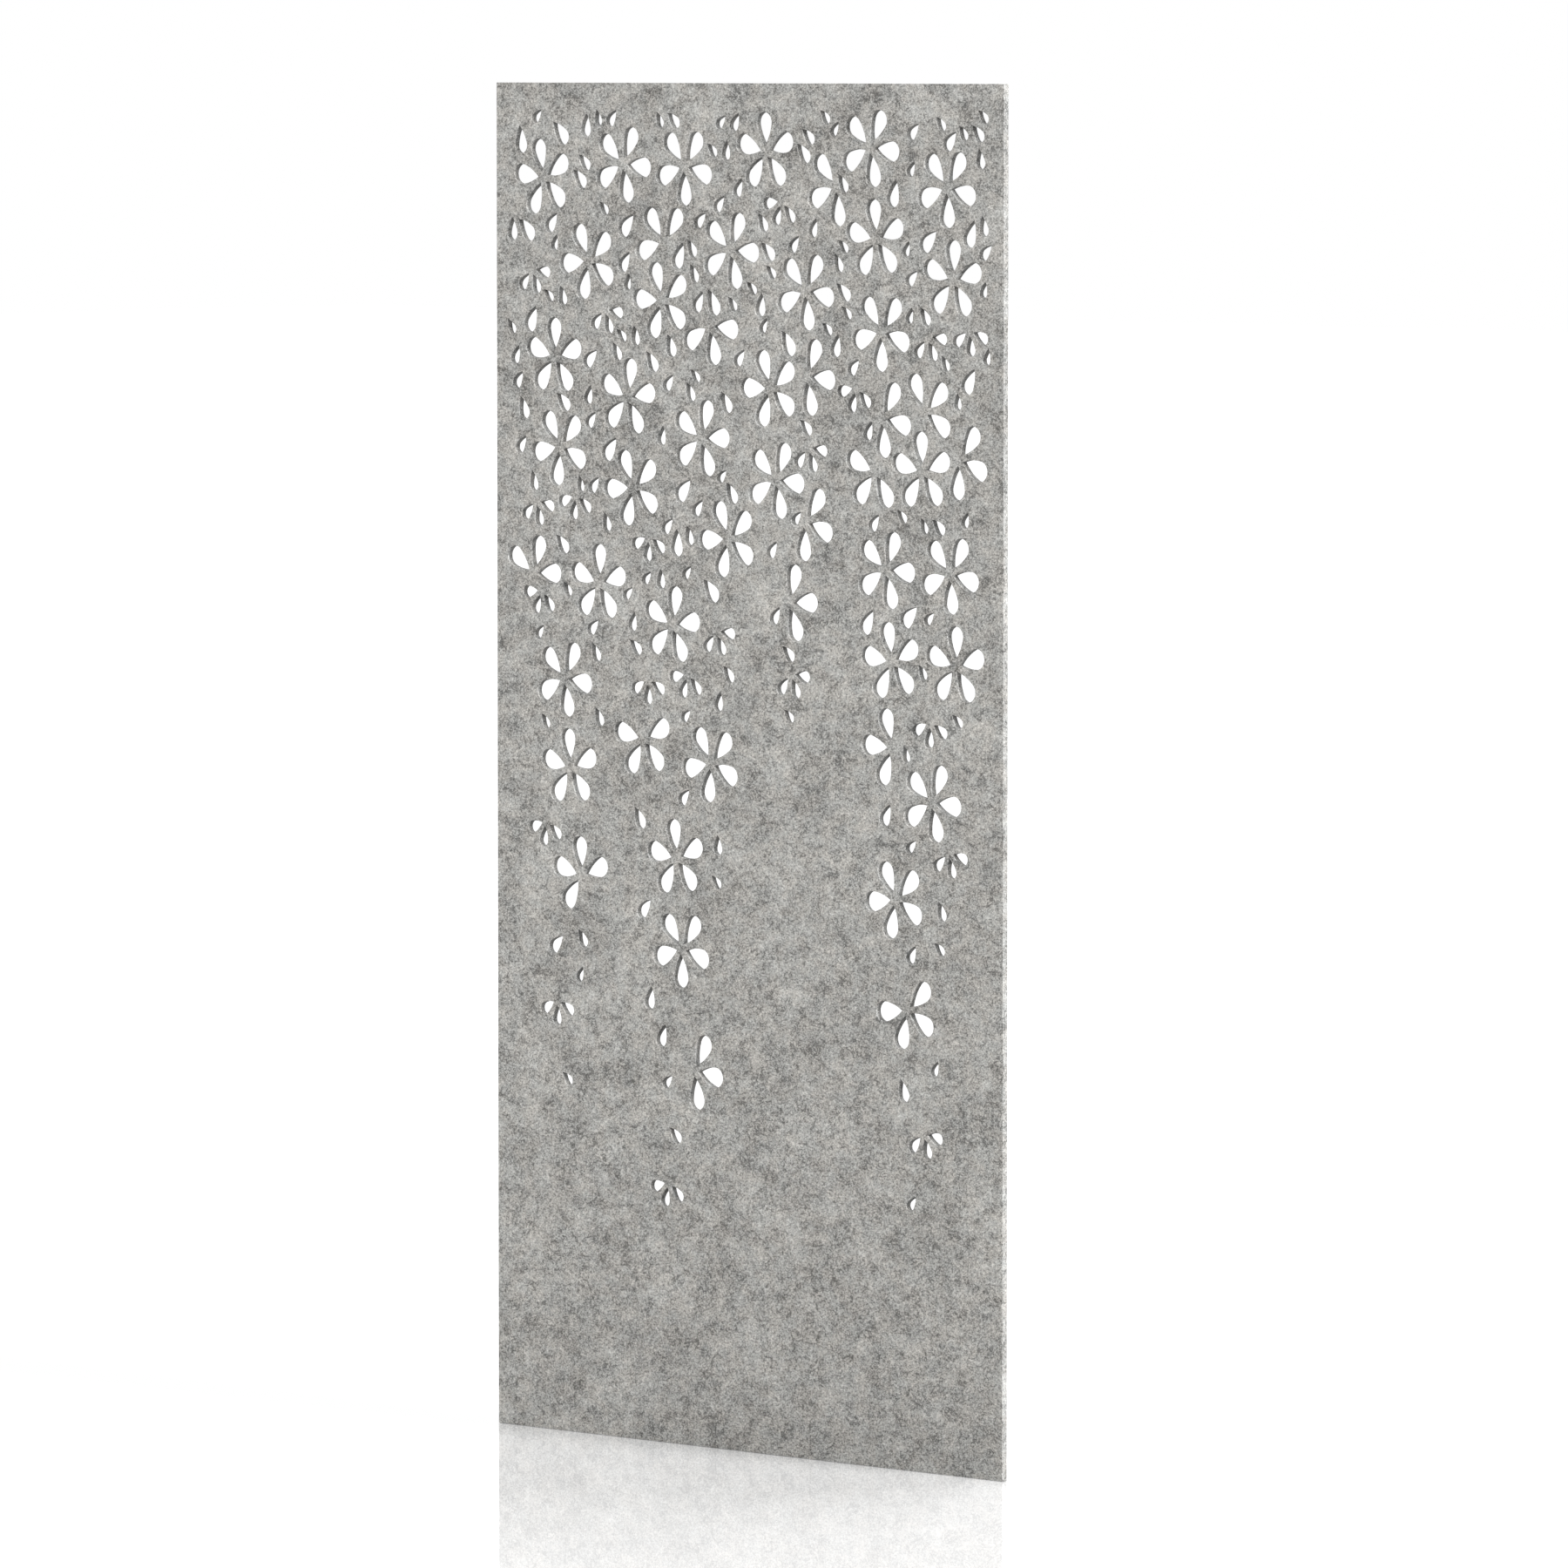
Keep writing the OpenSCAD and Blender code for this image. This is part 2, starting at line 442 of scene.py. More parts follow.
class StageSettings(bpy.types.PropertyGroup):
    """Camera, light and floor."""

    camera_place: FloatVectorProperty(
        name="Camera Place",
        description="Where the camera stands",
        default=(12.891, -14.0445, 0.0656),
        subtype="TRANSLATION",
        unit="LENGTH",
    )
    azimuth: FloatProperty(
        name="Azimuth",
        description="Turn of the camera from straight in front",
        default=math.radians(42.355),
        unit="ROTATION",
    )
    elevation: FloatProperty(
        name="Elevation",
        description="How far the camera looks down",
        default=math.radians(3.871),
        unit="ROTATION",
    )
    lens: FloatProperty(
        name="Focal Length",
        description="Focal length in millimetres on a sensor 36 mm wide",
        default=250.59,
    )
    floor_gap: FloatProperty(
        name="Floor Gap",
        description="Gap between the board and the floor",
        default=0.3 * MM,
        unit="LENGTH",
    )
    floor_reach: FloatProperty(
        name="Floor Reach",
        description="Half the floor's width",
        default=60.0,
        unit="LENGTH",
    )
    polish: FloatProperty(
        name="Polish",
        description="Share of the light on the floor that it mirrors",
        default=0.62,
    )
    # From these the floor's glow paints the mirror image's brightness, with a painted shade at the foot and a
    # painted haze away from it
    felt_level: FloatProperty(
        name="Felt Level",
        description="Brightness of the felt that the floor mirrors",
        default=0.31,
    )
    image_level: FloatProperty(
        name="Image Level",
        description="Brightness of the board's mirror image near its foot",
        default=0.735,
    )
    haze: FloatProperty(
        name="Haze",
        description="How much brighter the mirror image gets away from the foot",
        default=0.2,
    )
    haze_start: FloatProperty(
        name="Haze Start",
        description="Distance from the foot at which the haze begins, far from the board's right end",
        default=0.69,
        unit="LENGTH",
    )
    haze_reach: FloatProperty(
        name="Haze Reach",
        description="Distance over which the haze gathers, on top of the least one at the right end",
        default=0.45,
        unit="LENGTH",
    )
    bright_corner: FloatProperty(
        name="Bright Corner",
        description="Distance from the board's right end within which the haze begins at the foot",
        default=0.05,
        unit="LENGTH",
    )
    foot_shade: FloatProperty(
        name="Foot Shade",
        description="How much darker the mirror image is right at the foot",
        default=0.175,
    )
    shade_reach: FloatProperty(
        name="Shade Reach",
        description="Reach of the shade in front of the middle of the foot",
        default=0.08,
        unit="LENGTH",
    )
    shade_spread: FloatProperty(
        name="Shade Spread",
        description="How much the shade's reach grows to the left, for each metre",
        default=0.09,
    )
    shade_least: FloatProperty(
        name="Least Shade Reach",
        description="Reach of the shade at the board's right end",
        default=0.04,
        unit="LENGTH",
    )
    # The floor's colour for the light it throws back holds painted shade near the foot
    floor_bounce: FloatProperty(
        name="Floor Bounce",
        description="Share of its light that the floor throws on the board",
        default=0.35,
    )
    bounce_gap: FloatProperty(
        name="Bounce Gap",
        description="Distance from the foot within which the floor throws less light",
        default=0.55,
        unit="LENGTH",
    )
    fill: FloatProperty(
        name="Fill",
        description="Strength of the light from all round",
        default=0.75,
    )
    key: FloatProperty(
        name="Key",
        description="Strength of the soft lamp above the front",
        default=2.2,
    )
    edge_light: FloatProperty(
        name="Edge Light",
        description="Strength of the lamp that grazes the board from the right",
        default=4.0,
    )


# ---------------------------------------------------------------- finishes


def new_material(name):
    """A material with a Principled shader: the material, its graph, its object coordinates and the shader."""
    material = bpy.data.materials.new(name)
    material.use_nodes = True
    material.node_tree.nodes.clear()
    g = Graph(material.node_tree)
    shader = g.add("ShaderNodeBsdfPrincipled")
    g.add("ShaderNodeOutputMaterial", None, {"Surface": shader.outputs["BSDF"]})
    return material, g, g.out("ShaderNodeTexCoord", "Object"), shader


def noise(g, place, per_metre, detail=0.0, roughness=0.5, distortion=0.0, shift=0.0):
    """Smooth noise about zero; shift gives an independent one."""
    return (
        g.value(
            "ShaderNodeTexNoise",
            "Fac",
            None,
            {
                "Vector": g.vector("ADD", place, (shift, shift, shift)),
                "Scale": per_metre,
                "Detail": detail,
                "Roughness": roughness,
                "Distortion": distortion,
            },
        )
        - 0.5
    )


def tinted(colour, tint):
    """A colour times a tint, with full alpha."""
    return [channel * part for channel, part in zip(colour, tint)] + [1.0]


def felt_material(name, colour):
    """Pressed felt: fibre speckle, tufts, clouds and thin dark veins on a slightly varying grey."""
    material, g, place, shader = new_material(name)
    wide_marks = (0.8, 1.0, 1.0)
    place = g.vector("MULTIPLY", place, wide_marks)
    hairs = noise(g, place, 2400.0, detail=2.0, roughness=0.7, distortion=0.6, shift=6.6)
    fibres = noise(g, place, 420.0, detail=1.0, roughness=1.0)
    tufts = noise(g, place, 150.0, detail=1.0, roughness=0.9, shift=3.1)
    clouds = noise(g, place, 30.0, detail=1.0, roughness=0.6, distortion=0.5, shift=7.7)
    drift = noise(g, place, 7.0, detail=1.0, roughness=0.8, shift=1.3)

    # Veins and curls are the places where a noise crosses zero, in some patches only
    patches = g.ease(noise(g, place, 40.0, detail=1.0, shift=2.3), -0.12, 0.14)
    vein_field = noise(g, place, 36.0, detail=2.0, roughness=0.6, distortion=0.8, shift=5.9)
    curl_field = noise(g, place, 85.0, detail=2.0, roughness=0.6, distortion=1.2, shift=8.8)
    veins = g.ease(abs(vein_field), 0.055, 0.0) * patches
    curls = g.ease(abs(curl_field), 0.06, 0.0) * patches

    light = 1.10 + fibres * 3.0 + tufts + clouds * 0.72 + drift * 0.62
    dark = veins * 0.42 + curls * 0.34
    darkest = 0.35
    softness = 0.3
    tone = (light - dark).of("SMOOTH_MAX", darkest, softness) + hairs * 0.5
    warmth = g.ease(noise(g, place, 30.0, detail=2.0, roughness=0.7, shift=9.4), -0.15, 0.15)
    cool = tinted(colour, (0.985, 1.0, 1.01))
    warm = tinted(colour, (1.015, 1.0, 0.985))
    grey = g.out("ShaderNodeMix", "Result", {"data_type": "RGBA"}, {"Factor": warmth, "A": cool, "B": warm})
    relief = fibres + tufts * 0.5 + hairs * 0.3
    bump = g.out(
        "ShaderNodeBump",
        "Normal",
        None,
        {"Strength": 0.35, "Distance": 0.4 * MM, "Height": relief},
    )
    g.feed(shader.inputs["Base Color"], g.scaled(grey, tone))
    g.feed(shader.inputs["Normal"], bump)
    g.feed(shader.inputs["Roughness"], 0.95)
    g.feed(shader.inputs["Specular IOR Level"], 0.2)
    g.feed(shader.inputs["Sheen Weight"], 0.1)
    g.feed(shader.inputs["Sheen Roughness"], 0.5)
    return material


def metal_material(name, colour, roughness, streaks):
    """Bare metal with fine tool marks; streaks is how often they change along each axis, per metre."""
    material, g, place, shader = new_material(name)
    drawn = g.vector("MULTIPLY", place, streaks)
    marks = noise(g, drawn, 1.0, detail=3.0, roughness=0.7)
    smudges = noise(g, place, 60.0, detail=2.0, roughness=0.6, shift=4.2)
    grey = g.scaled(tuple(colour), 1.0 + marks * 0.25 + smudges * 0.15)
    bump = g.out(
        "ShaderNodeBump",
        "Normal",
        None,
        {"Strength": 0.15, "Distance": 0.05 * MM, "Height": marks},
    )
    g.feed(shader.inputs["Base Color"], grey)
    g.feed(shader.inputs["Metallic"], 1.0)
    g.feed(shader.inputs["Roughness"], roughness + marks * 0.2 + smudges * 0.2)
    g.feed(shader.inputs["Normal"], bump)
    return material


def dress(names, material):
    """Gives CAD nodes a material."""
    for name in names:
        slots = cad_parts[name].material_slots
        for slot in slots:
            slot.material = material
        if not slots:
            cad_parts[name].data.materials.append(material)


# ---------------------------------------------------------------- felt board


def petal_loops(node):
    """The outlines of the cut-outs in the front face of a CAD node, as lists of points on X and Z."""
    mesh = bmesh.new()
    mesh.from_mesh(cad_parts[node].data)
    bmesh.ops.remove_doubles(mesh, verts=mesh.verts, dist=WELD)
    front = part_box(node)[0].y
    on_front = {vert for vert in mesh.verts if abs(vert.co.y - front) < WELD}

    # A rim is where the front face meets a wall; following leads from each of its points to the next
    following = {}
    for face in mesh.faces:
        if not on_front.issuperset(face.verts):
            continue
        for corner in face.loops:
            others = [other for other in corner.edge.link_faces if other != face]
            if any(not on_front.issuperset(other.verts) for other in others):
                following[corner.vert] = corner.link_loop_next.vert

    loops = []
    while following:
        vert, after = following.popitem()
        loop = [vert]
        while after in following:
            loop.append(after)
            after = following.pop(after)
        loops.append([Vector((vert.co.x, vert.co.z)) for vert in loop])
    mesh.free()

    # The widest loop is the board's own outline
    widths = [max(p.x for p in loop) - min(p.x for p in loop) for loop in loops]
    return [loop for loop, width in zip(loops, widths) if width < BOARD_SIZE.x / 2]


def petal_of(loop):
    """Tip, direction from the tip to the round end, and length of a petal."""

    def turn(i):
        return abs((loop[i] - loop[i - 1]).angle_signed(loop[(i + 1) % len(loop)] - loop[i]))

    tip = loop[max(range(len(loop)), key=turn)]
    area = 0.0
    moment = Vector((0.0, 0.0))
    for a, b in zip(loop, loop[1:] + loop[:1]):
        part = (a - tip).cross(b - tip) / 2
        area += part
        moment += part * ((a - tip) + (b - tip)) / 3
    aim = (moment / area).normalized()
    return tip, math.atan2(aim.y, aim.x), max((point - tip).dot(aim) for point in loop)


def petal_points():
    """A mesh with one point at the tip of each petal that the CAD board has cut out."""
    petals = [petal_of(loop) for loop in petal_loops("felt_board")]
    petals.sort(key=lambda petal: (petal[0].y, petal[0].x))
    mesh = bpy.data.meshes.new("petal_points")
    mesh.from_pydata([(tip.x, tip.y, 0.0) for tip, _, _ in petals], [], [])
    for name, column in (("aim", 1), ("length", 2)):
        attribute = mesh.attributes.new(name, "FLOAT", "POINT")
        attribute.data.foreach_set("value", [petal[column] for petal in petals])
    return mesh


def petal_curve(g, given):
    """A closed petal of length one in the XY plane, anticlockwise from its tip at the origin.

    Each flank is an arc that runs smoothly into the arc of the round end.
    """
    flank_radius = given["Flank Radius"]
    flank_steps = given["Flank Steps"]
    end = given["Petal Width"] / 2
    end_x = 1 - end
    reach = flank_radius - end
    flank_x = (end_x * end_x + flank_radius * flank_radius - reach * reach) / (2 * end_x)
    flank_y = (flank_radius * flank_radius - flank_x * flank_x).of("SQRT")
    tip_turn = -(flank_x / flank_radius).of("ARCSINE")
    shoulder_turn = ((end_x - flank_x) / reach).of("ARCSINE")

    steps = 2 * flank_steps + given["End Steps"]
    index = g.value("GeometryNodeInputIndex", "Index")
    side = 2 * (index > steps / 2) - 1
    step = index.of("MINIMUM", steps - index)
    on_end = step > flank_steps
    flank_turn = tip_turn + step / flank_steps * (shoulder_turn - tip_turn)
    end_turn = shoulder_turn + (step - flank_steps) / given["End Steps"] * (math.pi - 2 * shoulder_turn)

    def arc(centre, drop, radius, turn):
        return centre + radius * turn.of("SINE"), radius * turn.of("COSINE") - drop

    on_flank = arc(flank_x, flank_y, flank_radius, flank_turn)
    on_round = arc(end_x, 0.0, end, end_turn)
    x, y = (a + on_end * (b - a) for a, b in zip(on_flank, on_round))
    circle = g.out("GeometryNodeCurvePrimitiveCircle", "Curve", None, {"Resolution": steps})
    position = g.join(x, side * y, 0.0)
    return g.out("GeometryNodeSetPosition", "Geometry", None, {"Geometry": circle, "Position": position})


def board_outlines(g, given):
    """Every outline of the board as a closed curve in the XY plane, with the felt on its right."""
    corner_steps = 3
    aim = g.attribute("aim")
    length = g.attribute("length")
    petals = g.at_points(
        given["Petals"],
        petal_curve(g, given),
        Rotation=g.out("FunctionNodeEulerToRotation", "Rotation", None, {"Euler": g.join(0.0, 0.0, aim)}),
        Scale=g.join(length, length, length),
    )
    petals = g.realized(petals)
    rectangle = g.out(
        "GeometryNodeCurvePrimitiveQuadrilateral",
        "Curve",
        None,
        {"Width": given["Width"], "Height": given["Height"]},
    )
    rectangle = g.out(
        "GeometryNodeFilletCurve",
        "Curve",
        {"mode": "POLY"},
        {"Curve": rectangle, "Count": corner_steps, "Radius": given["Corner"]},
    )
    rectangle = g.out("GeometryNodeReverseCurve", "Curve", None, {"Curve": rectangle})
    rectangle = g.move(rectangle, y=given["Height"] / -2)
    outlines = g.joined(petals, rectangle)
    tangent = g.out("GeometryNodeInputTangent", "Tangent")
    return g.out(
        "GeometryNodeStoreNamedAttribute",
        "Geometry",
        {"data_type": "FLOAT_VECTOR", "domain": "POINT"},
        {"Geometry": outlines, "Name": "felt_side", "Value": g.vector("CROSS_PRODUCT", tangent, UP)},
    )


def cut_walls(g, rims, felt_side, lip, thickness):
    """Walls that go down from closed rims through the board, with a rounded lip at each face."""
    lip_steps = 2
    turns = [math.pi / 2 * k / lip_steps for k in range(lip_steps + 1)]
    rounding = [(math.sin(b) - math.sin(a), math.cos(a) - math.cos(b)) for a, b in zip(turns, turns[1:])]
    bands = [(lip * -side, lip * down) for side, down in rounding]
    bands += [(0.0, thickness - 2 * lip)]
    bands += [(lip * side, lip * down) for side, down in reversed(rounding)]
    wall = g.out("GeometryNodeCurveToMesh", "Mesh", None, {"Curve": rims})
    wall = g.move(wall, z=thickness / 2)
    newest = True
    for side, down in bands:
        longer = g.add(
            "GeometryNodeExtrudeMesh",
            {"mode": "EDGES"},
            {"Mesh": wall, "Selection": newest, "Offset Scale": 0.0},
        )
        newest = longer.outputs["Top"]
        offset = g.vector("SUBTRACT", g.scaled(felt_side, side), g.join(0.0, 0.0, down))
        wall = g.displaced(longer.outputs["Mesh"], offset, newest)
    return g.out("GeometryNodeFlipFaces", "Mesh", None, {"Mesh": wall})


def hanger_cuts(g, given):
    """The slot, bores and pin holes that the hanger needs, lying in the XY plane with the top edge on X."""
    over = 2 * MM
    depth = given["Slot Depth"] + over
    slot = g.out(
        "GeometryNodeMeshCube",
        "Mesh",
        None,
        {"Size": g.join(given["Slot Length"], depth, given["Slot Thickness"])},
    )
    slot = g.move(slot, y=over - depth / 2)

    # The bores stand out further than the slot, so that no two of the cutters' ends are level
    bore_depth = given["Bore Depth"] + 2 * over
    upright = (math.pi / 2, 0.0, 0.0)
    bore = g.cylinder(given["Bore Diameter"], bore_depth)
    bore = g.move(bore, y=2 * over - bore_depth / 2, turn=upright)
    bores = g.at_points(g.row(2, given["Bore Spacing"]), bore)

    pin = g.move(g.cylinder(given["Pin Diameter"], given["Pin Length"]), y=-given["Pin Depth"])
    pins = g.at_points(g.row(given["Pins"], given["Pin Spread"]), pin)
    return slot, bores, pins


def felt_tree():
    """Geometry tree that cuts a petal at every point out of a board with rounded edges."""
    g, given = new_geometry_tree(
        "Pierced felt",
        {
            "Petals": "Geometry",
            "Width": "Float",
            "Height": "Float",
            "Thickness": "Float",
            "Petal Width": "Float",
            "Flank Radius": "Float",
            "Flank Steps": "Int",
            "End Steps": "Int",
            "Lip": "Float",
            "Corner": "Float",
            "Slot Length": "Float",
            "Slot Depth": "Float",
            "Slot Thickness": "Float",
            "Bore Spacing": "Float",
            "Bore Diameter": "Float",
            "Bore Depth": "Float",
            "Pins": "Int",
            "Pin Spread": "Float",
            "Pin Diameter": "Float",
            "Pin Length": "Float",
            "Pin Depth": "Float",
            "Face Material": "Material",
            "Cut Material": "Material",
        },
    )
    lip = given["Lip"]
    thickness = given["Thickness"]
    felt_side = g.attribute("felt_side", "FLOAT_VECTOR")
    rims = g.displaced(board_outlines(g, given), g.scaled(felt_side, lip))
    face = g.out("GeometryNodeFillCurve", "Mesh", {"mode": "TRIANGLES"}, {"Curve": rims})
    face = g.painted(face, given["Face Material"])
    back = g.out("GeometryNodeFlipFaces", "Mesh", None, {"Mesh": g.move(face, z=thickness / -2)})
    walls = g.painted(cut_walls(g, rims, felt_side, lip, thickness), given["Cut Material"])
    sheet = g.joined(g.move(face, z=thickness / 2), back, walls)
    sheet = g.out("GeometryNodeMergeByDistance", "Geometry", None, {"Geometry": sheet, "Distance": WELD})
    cutters = [g.painted(cutter, given["Cut Material"]) for cutter in hanger_cuts(g, given)]
    sheet = g.cut(sheet, *cutters)
    sheet = g.move(sheet, turn=(math.pi / 2, 0.0, 0.0))

    # Flat faces and straight walls stay flat, and what is curved is smooth
    facing = 0.99
    aligned = 0.9999
    normal = [abs(part) for part in g.split(g.out("GeometryNodeInputNormal", "True Normal"))]
    x, y, z = g.split(g.out("GeometryNodeInputPosition", "Position"))
    on_face = (normal[1] > facing) * (abs(y) > thickness / 2 - lip / 4)
    margin = (given["Width"] / 2 - abs(x)).of("MINIMUM", -z).of("MINIMUM", given["Height"] + z)
    straight = normal[0].of("MAXIMUM", normal[2]) > aligned
    flat = on_face.of("MAXIMUM", straight * (margin < given["Corner"]))
    sheet = g.realized(g.smoothed(sheet, sharp_angle=math.radians(50), smooth_faces=1 - flat))
    sheet = g.painted(sheet, given["Cut Material"], 1 - on_face)
    g.add("NodeGroupOutput", None, {"Geometry": sheet})
    return g.tree


# ---------------------------------------------------------------- sockets


def thread_groove(g, given):
    """A three-sided rod wound into a helix, whose outer edge is the bottom of the thread's groove."""
    points_per_turn = 36
    overlap = 0.1 * MM
    sides = 3
    side_out = math.cos(math.pi / sides)  # Distance of a side from the rod's middle, for a radius of one
    deep = (given["Thread"] - given["Bore"]) / 2 + overlap
    rod = deep / (1.0 + side_out)
    radius = given["Thread"] / 2 - rod
    past_mouth = 1.0
    turns = given["Thread Length"] / given["Pitch"] + past_mouth
    helix = g.out(
        "GeometryNodeCurveSpiral",
        "Curve",
        None,
        {
            "Resolution": points_per_turn,
            "Rotations": turns,
            "Start Radius": radius,
            "End Radius": radius,
            "Height": turns * given["Pitch"],
        },
    )
    helix = g.out("GeometryNodeSetCurveNormal", "Curve", {"mode": "Z_UP"}, {"Curve": helix})
    section = g.out("GeometryNodeCurvePrimitiveCircle", "Curve", None, {"Resolution": sides, "Radius": rod})
    section = g.move(section, turn=(0.0, 0.0, math.pi))
    groove = g.out(
        "GeometryNodeCurveToMesh",
        "Mesh",
        None,
        {"Curve": helix, "Profile Curve": section, "Fill Caps": True},
    )
    return g.move(groove, x=given["Axis"], z=-given["Thread Length"])


def mouth_cone(g, given):
    """A cone that widens the mouth of a socket's bore."""
    sides = 72
    over = 0.1 * MM
    deep = (given["Lead-in"] - given["Bore"]) / 2 + 2 * over
    cone = g.out(
        "GeometryNodeMeshCone",
        "Mesh",
        None,
        {
            "Vertices": sides,
            "Radius Top": given["Lead-in"] / 2 + over,
            "Radius Bottom": given["Bore"] / 2 - over,
            "Depth": deep,
        },
    )
    return g.move(cone, x=given["Axis"], z=over - deep)


def socket_tree():
    """Geometry tree that cuts a thread and a countersink into the bore of a blank socket."""
    g, given = new_geometry_tree(
        "Threaded socket",
        {
            "Blank": "Geometry",
            "Axis": "Float",
            "Bore": "Float",
            "Thread": "Float",
            "Pitch": "Float",
            "Thread Length": "Float",
            "Lead-in": "Float",
            "Material": "Material",
        },
    )
    blank = g.out(
        "GeometryNodeMergeByDistance",
        "Geometry",
        None,
        {"Geometry": given["Blank"], "Distance": FINE_WELD},
    )
    parts = (blank, mouth_cone(g, given), thread_groove(g, given))
    socket = g.cut(*(g.painted(part, given["Material"]) for part in parts))
    socket = g.realized(g.smoothed(socket, sharp_angle=math.radians(35)))
    socket = g.painted(socket, given["Material"])
    g.add("NodeGroupOutput", None, {"Geometry": socket})
    return g.tree


# ---------------------------------------------------------------- stage


def mirror_image_level(g, settings, x, y):
    """Brightness of the board's mirror image at X and Y on the floor, and the X of the foot seen above it.

    The floor's glow paints this: a painted shade close to the foot, and further off a painted haze that
    brightens the image, soonest near the board's right end.
    """
    end = BOARD_SIZE.x / 2
    least_reach = 0.06

    # Distances inside the right end over which these grow to their full size
    start_growth = 0.8
    reach_growth = 0.45
    shade_growth = 0.35

    # Which X of the foot the camera sees above this place, and how far inside the right end that is
    across = x - y * (settings.camera_place[0] / settings.camera_place[1])
    inward = (end - settings.bright_corner - across).of("MAXIMUM", MM)

    haze_start = settings.haze_start * (inward / start_growth).of("TANH")
    haze_reach = least_reach + settings.haze_reach * (inward / reach_growth).of("TANH")
    past_start = (-y - haze_start).of("MAXIMUM", 0.0)
    haze = settings.haze * (1.0 - (-past_start / haze_reach).of("EXPONENT"))

    shade_reach = settings.shade_reach - settings.shade_spread * across
    fall = y / shade_reach.of("MAXIMUM", settings.shade_least)
    shade = settings.foot_shade * (-(fall * fall)).of("EXPONENT") * g.ease(inward, 0.0, shade_growth)
    return settings.image_level + haze - shade, across


def floor_material(settings):
    """A white floor that mirrors the board to the camera and throws a little light back on it."""
    material = bpy.data.materials.new("floor_white")
    material.use_nodes = True
    material.node_tree.nodes.clear()
    g = Graph(material.node_tree)
    x, y, _ = g.split(g.out("ShaderNodeTexCoord", "Object"))
    seen = g.value("ShaderNodeLightPath", "Is Camera Ray")
    end = BOARD_SIZE.x / 2

    # The floor is plain white behind the board and beside its mirror image
    behind_fade = 0.02
    beside_fade = 0.01
    level, across = mirror_image_level(g, settings, x, y)
    behind = g.ease(y, 0.0, behind_fade)
    beside = g.ease(abs(across), end, end + beside_fade)
    # The camera's glow paints the mirror image's brightness, with its painted shade and haze, less the felt
    # that the floor mirrors
    glow = (level - settings.polish * settings.felt_level) / (1.0 - settings.polish)
    glow = glow.of("MAXIMUM", behind.of("MAXIMUM", beside))
    glow = g.out("ShaderNodeEmission", "Emission", None, {"Strength": seen * glow})

    # Close to the foot the board keeps the light off the floor, so the colour of the light it throws back is
    # painted darker there as shade, except past its ends
    end_weight = 8.0
    past_end = (abs(x) - end).of("MAXIMUM", 0.0) * end_weight
    distance = (past_end * past_end + y * y).of("SQRT")
    bounce = settings.floor_bounce * (1.0 - (distance / -settings.bounce_gap).of("EXPONENT"))
    matt = g.out("ShaderNodeBsdfDiffuse", "BSDF", None, {"Color": bounce * (1.0 - seen)})

    lit = g.add("ShaderNodeAddShader")
    g.feed(lit.inputs[0], matt)
    g.feed(lit.inputs[1], glow)
    mirror = g.out("ShaderNodeBsdfGlossy", "BSDF", None, {"Color": WHITE, "Roughness": 0.01})
    mixed = g.add("ShaderNodeMixShader", None, {"Fac": settings.polish * seen})
    g.feed(mixed.inputs[1], lit.outputs[0])
    g.feed(mixed.inputs[2], mirror)
    g.add("ShaderNodeOutputMaterial", None, {"Surface": mixed.outputs[0]})
    return material


def set_world(settings):
    """Plain light from all round, which the camera, mirrors and glass see as white."""
    world = bpy.data.worlds.new("studio")
    world.use_nodes = True
    world.node_tree.nodes.clear()
    g = Graph(world.node_tree)
    path = g.add("ShaderNodeLightPath")
    camera, glossy, through = (
        Value(g, path.outputs[f"Is {ray} Ray"]) for ray in ("Camera", "Glossy", "Transmission")
    )
    white = camera.of("MAXIMUM", glossy).of("MAXIMUM", through)
    background = g.out(
        "ShaderNodeBackground",
        "Background",
        None,
        {"Color": WHITE, "Strength": settings.fill + white * (1.0 - settings.fill)},
    )
    g.add("ShaderNodeOutputWorld", None, {"Surface": background})
    bpy.context.scene.world = world


def add_sun(name, strength, towards, softness):
    """A lamp with parallel rays, which shines along a direction."""
    light = bpy.data.lights.new(name, "SUN")
    light.energy = strength
    light.angle = softness
    lamp = bpy.data.objects.new(name, light)
    lamp.rotation_euler = Vector(towards).to_track_quat("-Z", "Y").to_euler()
    bpy.context.scene.collection.objects.link(lamp)


def add_camera(settings):
    camera = bpy.data.cameras.new("camera")
    camera.sensor_fit = "HORIZONTAL"
    camera.sensor_width = 36.0
    camera.lens = settings.lens
    camera.clip_end = 500.0
    holder = bpy.data.objects.new("camera", camera)
    holder.location = settings.camera_place
    holder.rotation_euler = (math.pi / 2 - settings.elevation, 0.0, settings.azimuth)
    bpy.context.scene.collection.objects.link(holder)
    bpy.context.scene.camera = holder


# ---------------------------------------------------------------- operators


